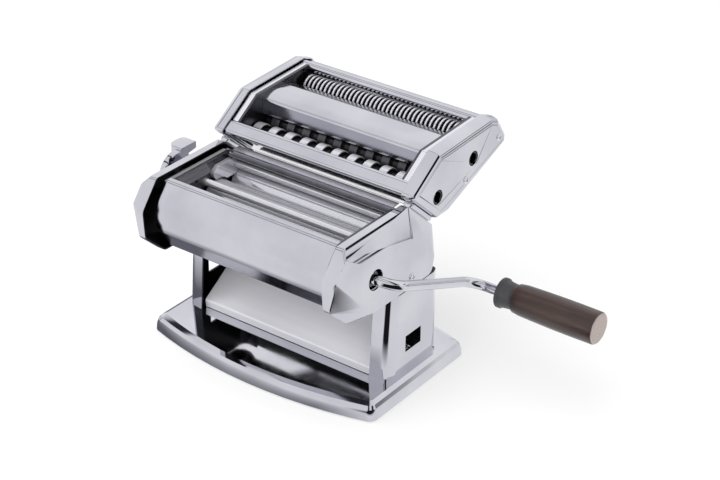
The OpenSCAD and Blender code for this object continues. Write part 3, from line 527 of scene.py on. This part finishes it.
def makeScrewTree():
    group = bpy.data.node_groups.new("crossHeadScrew", "GeometryNodeTree")
    face = group.interface
    face.new_socket("Seats", in_out="INPUT", socket_type="NodeSocketGeometry")
    for name in ("Head Radius", "Head Height", "Shank Length"):
        face.new_socket(name, in_out="INPUT", socket_type="NodeSocketFloat")
    face.new_socket("Finish", in_out="INPUT", socket_type="NodeSocketMaterial")
    face.new_socket("Screws", in_out="OUTPUT", socket_type="NodeSocketGeometry")
    desk = Desk(group)
    given = group.nodes.new("NodeGroupInput").outputs
    seats, radius, height, shank, finish = (Wire(desk, given[i]) for i in range(5))

    def triple(x, y, z):
        return desk.add("ShaderNodeCombineXYZ", {}, {0: x, 1: y, 2: z})

    def cube(x, y, z):
        return desk.add("GeometryNodeMeshCube", {}, {"Size": triple(x, y, z)})

    def shifted(shape, move=(0, 0, 0), scale=(1, 1, 1)):
        return desk.add("GeometryNodeTransform", {}, {"Geometry": shape, "Translation": move, "Scale": scale})

    def raised(shape, rise):
        return shifted(shape, triple(0.0, 0.0, rise))

    ball = desk.add("GeometryNodeMeshUVSphere", {},
                    {"Segments": crossHead["segments"], "Rings": crossHead["rings"], "Radius": 1.0})
    dome = shifted(ball, scale=triple(radius, radius, height))
    under = crossHead["under"]
    lower = raised(cube(radius * under, radius * under, height * under), height * (-under / 2))
    long, narrow, tall = radius * crossHead["long"], radius * crossHead["narrow"], height * crossHead["tall"]
    cross = [cube(long, narrow, tall), cube(narrow, long, tall)]
    cuts = [lower] + [raised(bar, height * crossHead["rise"]) for bar in cross]
    head = desk.add("GeometryNodeMeshBoolean", {"operation": "DIFFERENCE"}, {"Mesh 1": dome, "Mesh 2": cuts})
    stem = desk.add("GeometryNodeMeshCylinder", {},
                    {"Vertices": crossHead["stemSides"], "Radius": radius * crossHead["stem"], "Depth": shank})
    both = desk.add("GeometryNodeJoinGeometry", {}, {"Geometry": [head, raised(stem, shank * -0.5)]})
    facing = desk.add("GeometryNodeInputNamedAttribute", {"data_type": "FLOAT_VECTOR"}, {"Name": "facing"})
    spin = desk.add("FunctionNodeAlignRotationToVector", {"axis": "Z"}, {"Vector": facing})
    placed = desk.add("GeometryNodeInstanceOnPoints", {}, {"Points": seats, "Instance": both, "Rotation": spin})
    real = desk.add("GeometryNodeRealizeInstances", {}, {"Geometry": placed})
    done = desk.add("GeometryNodeSetMaterial", {}, {"Geometry": real, "Material": finish})
    group.links.new(done.socket, group.nodes.new("NodeGroupOutput").inputs[0])
    return group


def seatsOf(name, height, out):
    mesh = bmesh.new()
    mesh.from_mesh(nodes[name].data)
    bmesh.ops.remove_doubles(mesh, verts=mesh.verts, dist=edgeWork["weld"])
    left, seats = dict.fromkeys(mesh.verts), []
    while left:
        island, edge = [], [left.popitem()[0]]
        while edge:
            vert = edge.pop()
            island.append(vert)
            for link in vert.link_edges:
                other = link.other_vert(vert)
                if other in left:
                    del left[other]
                    edge.append(other)
        middle = sum((v.co for v in island), Vector()) / len(island)
        way = Vector(out) * (-1 if out[0] and middle.x < 0 else 1)
        top = max(v.co.dot(way) for v in island)
        crown = [v.co for v in island if v.co.dot(way) > top - crossHead["crown"]]
        seat = sum(crown, Vector()) / len(crown)
        seats.append((seat + way * (top - height - seat.dot(way)), way))
    mesh.free()
    return seats


def setScrews(name, tree):
    size = screws[name]
    seats = seatsOf(name, size["height"], size["out"])
    data = bpy.data.meshes.new(name + "_seats")
    data.from_pydata([seat for seat, way in seats], [], [])
    facing = data.attributes.new("facing", "FLOAT_VECTOR", "POINT")
    for item, (seat, way) in zip(facing.data, seats):
        item.vector = way
    piece = bpy.data.objects.new(name + "_heads", data)
    scene.collection.objects.link(piece)
    modifier = piece.modifiers.new("crossHeadScrew", "NODES")
    modifier.node_group = tree
    idOf = {item.name: item.identifier for item in tree.interface.items_tree if item.in_out == "INPUT"}
    modifier[idOf["Head Radius"]] = size["radius"]
    modifier[idOf["Head Height"]] = size["height"]
    modifier[idOf["Shank Length"]] = size["shank"]
    modifier[idOf["Finish"]] = groundSteel
    solid = solidOf(piece)
    piece.modifiers.clear()
    piece.data = solid
    mesh = bmesh.new()
    mesh.from_mesh(solid)
    bmesh.ops.remove_doubles(mesh, verts=mesh.verts, dist=edgeWork["weld"])
    for face in mesh.faces:
        face.smooth = True
    for edge in mesh.edges:
        edge.smooth = edge.is_manifold and edge.calc_face_angle(0) < math.radians(crossHead["sharp"])
    mesh.to_mesh(solid)
    mesh.free()
    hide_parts(name)
    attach(piece, nodes[name]["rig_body"])
    return len(seats)


shells = {name: polish(name) for name in sorted(nodes) if name not in screws}
for name in ("crank_rod", "crank_collar", "crank_grip"):
    shells[name].visible_glossy = False
print("shells polished:", len(shells))
screwTree = makeScrewTree()
print("screws set:", sum(setScrews(name, screwTree) for name in screws))


# numerals of the six settings, printed round the dial
numerals = {
    "count": 6, "radius": 0.0118, "height": 0.0036, "from": 105, "step": 30, "thick": 0.00006, "weld": 0.000001,
}


def printNumerals():
    low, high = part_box("dial_screw")
    middle = Vector((high.x - numerals["thick"] / 2, (low.y + high.y) / 2, (low.z + high.z) / 2))
    across, up = Vector((0, -1, 0)), Vector((0, 0, 1))
    whole = bmesh.new()
    for number in range(numerals["count"]):
        text = bpy.data.curves.new("numeral", "FONT")
        text.body = str(number + 1)
        text.size = numerals["height"]
        text.extrude = numerals["thick"]
        text.align_x, text.align_y = "CENTER", "CENTER"
        holder = bpy.data.objects.new("numeral", text)
        scene.collection.objects.link(holder)
        flat = solidOf(holder)
        angle = math.radians(numerals["from"] + numerals["step"] * number)
        outward = math.sin(angle) * across + math.cos(angle) * up
        along = math.cos(angle) * across - math.sin(angle) * up
        spot = middle + outward * numerals["radius"]
        flat.transform(Matrix((
            (along.x, outward.x, -1, spot.x), (along.y, outward.y, 0, spot.y),
            (along.z, outward.z, 0, spot.z), (0, 0, 0, 1))))
        whole.from_mesh(flat)
        bpy.data.objects.remove(holder)
    bmesh.ops.remove_doubles(whole, verts=whole.verts, dist=numerals["weld"])
    bmesh.ops.recalc_face_normals(whole, faces=whole.faces)
    piece = addPiece("dial_numerals", toData(whole, "dial_numerals"), dialInk)
    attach(piece, nodes["dial"]["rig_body"])


printNumerals()
print("dial numbered")


# folded hems: outward along the tops of the four inner plates, and back from the rear lip of the mouth
hems = {
    "left_frame_plate": {"from": -0.0788, "to": -0.0822, "front": -0.064, "back": 0.006},
    "right_frame_plate": {"from": 0.0788, "to": 0.0822, "front": -0.064, "back": 0.006},
    "cutter_left_plate": {"from": -0.0780, "to": -0.0826, "front": 0.008, "back": 0.105},
    "cutter_right_plate": {"from": 0.0780, "to": 0.0826, "front": 0.008, "back": 0.105},
}
rearHem = {"half": 0.0755, "line": [(0.0030, 0.1408), (0.0080, 0.1413), (0.0132, 0.1413)]}
hemSheet = {"thick": 0.0008, "play": 0.0004}


# the upper outline of a plate, as the upper half of its convex hull
def topLine(name):
    size = hems[name]
    reach = abs(size["from"]) + hemSheet["play"]
    dots = {(round(v.co.y, 6), round(v.co.z, 6)) for v in nodes[name].data.vertices if abs(v.co.x) < reach}
    line = []

    def sags(y, z):
        (y0, z0), (y1, z1) = line[-2:]
        return (y1 - y0) * (z - z0) - (z1 - z0) * (y - y0) >= 0

    for dot in sorted(dots):
        while len(line) > 1 and sags(*dot):
            line.pop()
        line.append(dot)
    return [dot for dot in line if size["front"] < dot[0] < size["back"]]


def foldHem(plate, line, start, end):
    mesh = bmesh.new()
    rows = []
    for i, (y, z) in enumerate(line):
        (y0, z0), (y1, z1) = line[max(i - 1, 0)], line[min(i + 1, len(line) - 1)]
        way = Vector((0, y1 - y0, z1 - z0)).normalized()
        top = Vector((0, y, z))
        bottom = top + Vector((0, way.z, -way.y)) * hemSheet["thick"]
        near, far = Vector((start, 0, 0)), Vector((end, 0, 0))
        rows.append([mesh.verts.new(spot) for spot in (top + near, top + far, bottom + far, bottom + near)])
    for one, two in zip(rows, rows[1:]):
        for k in range(4):
            mesh.faces.new((one[k], one[(k + 1) % 4], two[(k + 1) % 4], two[k]))
    mesh.faces.new(rows[0])
    mesh.faces.new(rows[-1])
    bmesh.ops.recalc_face_normals(mesh, faces=mesh.faces)
    piece = addPiece(plate + "_hem", toData(mesh, plate + "_hem"), groundSteel)
    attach(piece, nodes[plate]["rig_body"])


for name, size in hems.items():
    foldHem(name, topLine(name), size["from"], size["to"])
foldHem("rear_cover", rearHem["line"], -rearHem["half"], rearHem["half"])
print("hems folded:", len(hems) + 1)


# floor, backdrop, light and camera; the metal sees a pale tent with dark lines across it, and dark flags
# at the front right, the right and the back right
studio = {
    "floor": 6.0, "floorColour": (0.95, 0.95, 0.955), "floorRough": 0.9, "fill": 0.70, "lift": 0.55,
    "pale": (0.98, 0.98, 1.0), "dark": (0.012, 0.012, 0.016), "under": (0.16, 0.16, 0.19),
    "apex": (0.060, -0.020), "frontFlag": (-0.43, 0.0, 0.03), "flagTop": (0.34, 0.26),
    "flagNear": (0.085, 0.125), "floorLines": ((0.53, 0.66), (0.82, 1.05)), "floorEdge": 0.03,
    "backFlag": (0.20, 0.345, 0.03), "backLines": ((0.03, 0.13), (0.34, 0.44)), "lineEdge": 0.012,
    "sideFlag": (-0.085, 0.065, 0.015), "sideReach": (0.42, 0.95, 0.02),
    "footprint": ((-0.22, 0.085), (-0.092, 0.11)), "footEdge": 0.025,
    "tent": [
        (0.0, (0.55, 0.55, 0.58)), (0.06, (0.90, 0.90, 0.93)), (0.13, (1.04, 1.04, 1.06)),
        (0.30, (1.05, 1.05, 1.07)), (0.440, (0.92, 0.92, 0.95)), (0.450, (0.03, 0.03, 0.04)),
        (0.478, (0.03, 0.03, 0.04)), (0.488, (0.92, 0.92, 0.95)), (0.645, (0.96, 0.96, 0.99)),
        (0.655, (0.03, 0.03, 0.04)), (0.688, (0.03, 0.03, 0.04)), (0.698, (0.98, 0.98, 1.0)),
        (0.86, (0.96, 0.96, 0.99)), (1.0, (0.95, 0.95, 0.98))],
}


def band(desk, value, low, high, soft):
    return desk.range(value, low - soft, low + soft) * desk.range(value, high + soft, high - soft)


def bands(desk, value, pairs, soft):
    return sum((band(desk, value, low, high, soft) for low, high in pairs), 0)


def rayKinds(desk):
    return [desk.add("ShaderNodeLightPath", output=kind) for kind in ("Is Glossy Ray", "Is Camera Ray")]


def makeFloor():
    bpy.ops.mesh.primitive_plane_add(size=studio["floor"], location=(0, 0, 0))
    floor = bpy.context.object
    floor.name = "floor"
    desk = newDesk("paleFloor")
    desk.surface(Base_Color=studio["floorColour"], Roughness=studio["floorRough"])
    # the plating sees the floor as a glow, not as lit floor: pale, with dark flags and lines painted in it
    x, y, z = desk.split(desk.place())
    fromX, fromY = x - studio["apex"][0], y - studio["apex"][1]
    turn = fromY.math("ARCTAN2", fromX) / math.pi
    reach = (fromX.math("POWER", 2) + fromY.math("POWER", 2)).math("SQRT")
    # under the machine that glow is darkened to the under tone: a painted shadow
    wide, deep = studio["footprint"]
    paintedShadowBelow = band(desk, x, *wide, studio["footEdge"]) * band(desk, y, *deep, studio["footEdge"])
    front = band(desk, turn, *studio["frontFlag"]) * desk.range(reach, *studio["flagNear"])
    back = band(desk, turn, *studio["backFlag"]) * bands(desk, reach, studio["floorLines"], studio["floorEdge"])
    seen = desk.mix(front + back, studio["pale"], studio["dark"])
    glow = desk.add("ShaderNodeEmission", {}, {"Color": desk.mix(paintedShadowBelow, seen, studio["under"])})
    bright = desk.add("ShaderNodeEmission", {}, {"Color": (1, 1, 1)})
    glossy, direct = rayKinds(desk)
    body = Wire(desk, desk.tree.nodes["Principled BSDF"].outputs[0])
    lifted = desk.add("ShaderNodeMixShader", {}, {0: direct * studio["lift"], 1: body, 2: bright})
    both = desk.add("ShaderNodeMixShader", {}, {0: glossy, 1: lifted, 2: glow})
    desk.tree.links.new(both.socket, desk.tree.nodes["Material Output"].inputs["Surface"])
    floor.data.materials.append(desk.owner)


def makeWorld():
    world = bpy.data.worlds.new("studio")
    desk = Desk(world)
    x, y, z = desk.split(desk.add("ShaderNodeTexCoord", output="Generated"))
    tent = desk.ramp(z.math("ABSOLUTE").math("ARCTAN2", y) / math.pi, studio["tent"])
    turn = y.math("ARCTAN2", x) / math.pi
    front = band(desk, turn, *studio["frontFlag"]) * desk.range(z, *studio["flagTop"])
    back = band(desk, turn, *studio["backFlag"]) * bands(desk, z, studio["backLines"], studio["lineEdge"])
    side = band(desk, turn, *studio["sideFlag"]) * band(desk, z, *studio["sideReach"])
    glossy, direct = rayKinds(desk)
    flagged = desk.mix(front + back + side, tent, studio["dark"])
    sky = world.node_tree.nodes["Background"]
    desk.feed(sky.inputs["Color"], desk.mix(glossy, (1, 1, 1), flagged))
    desk.feed(sky.inputs["Strength"], desk.range(direct.math("MAXIMUM", glossy), 0, 1, studio["fill"], 1.0))
    scene.world = world


# a dark card close behind the machine, seen only in the plating, paints a dark reflection that keeps the deck
# between the legs dark
card = {"at": (-0.015, 0.055, 0.057), "size": (0.17, 0.082), "tone": (0.004, 0.004, 0.005), "rough": 0.95}


def makeCard():
    black = newDesk("blackCard")
    black.surface(Base_Color=card["tone"], Roughness=card["rough"])
    bpy.ops.mesh.primitive_plane_add(size=1, location=card["at"], rotation=(math.pi / 2, 0, 0))
    flag = bpy.context.object
    flag.name = "backCard"
    flag.scale = (*card["size"], 1)
    flag.data.materials.append(black.owner)
    for kind in ("camera", "diffuse", "shadow"):
        setattr(flag, "visible_" + kind, False)


lamps = {
    "top": {"at": (-0.3, -0.2, 1.7), "size": (1.8, 1.4), "power": 14},
    "left": {"at": (-1.5, -0.9, 1.1), "size": (1.0, 1.2), "power": 8},
    "right": {"at": (1.5, -0.7, 1.0), "size": (1.0, 1.1), "power": 6},
    "front": {"at": (0.1, -1.7, 0.45), "size": (1.4, 0.7), "power": 13},
}
lampTarget = (0, 0.03, 0.09)


def makeLamps():
    for name, lamp in lamps.items():
        data = bpy.data.lights.new(name, "AREA")
        data.shape = "RECTANGLE"
        data.size, data.size_y = lamp["size"]
        data.energy = lamp["power"]
        lightObject = bpy.data.objects.new(name, data)
        scene.collection.objects.link(lightObject)
        lightObject.location = lamp["at"]
        lightObject.visible_glossy = False
        aim = Vector(lampTarget) - Vector(lamp["at"])
        lightObject.rotation_mode = "QUATERNION"
        lightObject.rotation_quaternion = aim.to_track_quat("-Z", "Y")


# focal length and shift in pixels of a picture 720 wide
shot = {
    "target": (0, 0.0874, 0.076), "distance": 1.505, "azimuth": 36.3, "elevation": 28.77, "roll": 0.58,
    "focal": 1910.72, "shift": (-15.81, -27.7), "wide": 720, "sensor": 36, "clip": (0.05, 30),
}


def makeCamera():
    data = bpy.data.cameras.new("photoCamera")
    data.sensor_width = shot["sensor"]
    data.lens = shot["focal"] / shot["wide"] * shot["sensor"]
    data.shift_x, data.shift_y = (shift / shot["wide"] for shift in shot["shift"])
    data.clip_start, data.clip_end = shot["clip"]
    camera = bpy.data.objects.new("photoCamera", data)
    scene.collection.objects.link(camera)
    a, e, r = (math.radians(shot[k]) for k in ("azimuth", "elevation", "roll"))
    back = Vector((math.sin(a) * math.cos(e), -math.cos(a) * math.cos(e), math.sin(e)))
    right = Vector((math.cos(a), math.sin(a), 0))
    up = back.cross(right)
    rightRolled = math.cos(r) * right + math.sin(r) * up
    upRolled = math.cos(r) * up - math.sin(r) * right
    spot = Vector(shot["target"]) + back * shot["distance"]
    camera.matrix_world = Matrix((
        (rightRolled.x, upRolled.x, back.x, spot.x),
        (rightRolled.y, upRolled.y, back.y, spot.y),
        (rightRolled.z, upRolled.z, back.z, spot.z),
        (0, 0, 0, 1)))
    scene.camera = camera


makeFloor()
makeWorld()
makeCard()
makeLamps()
makeCamera()
print("studio set")
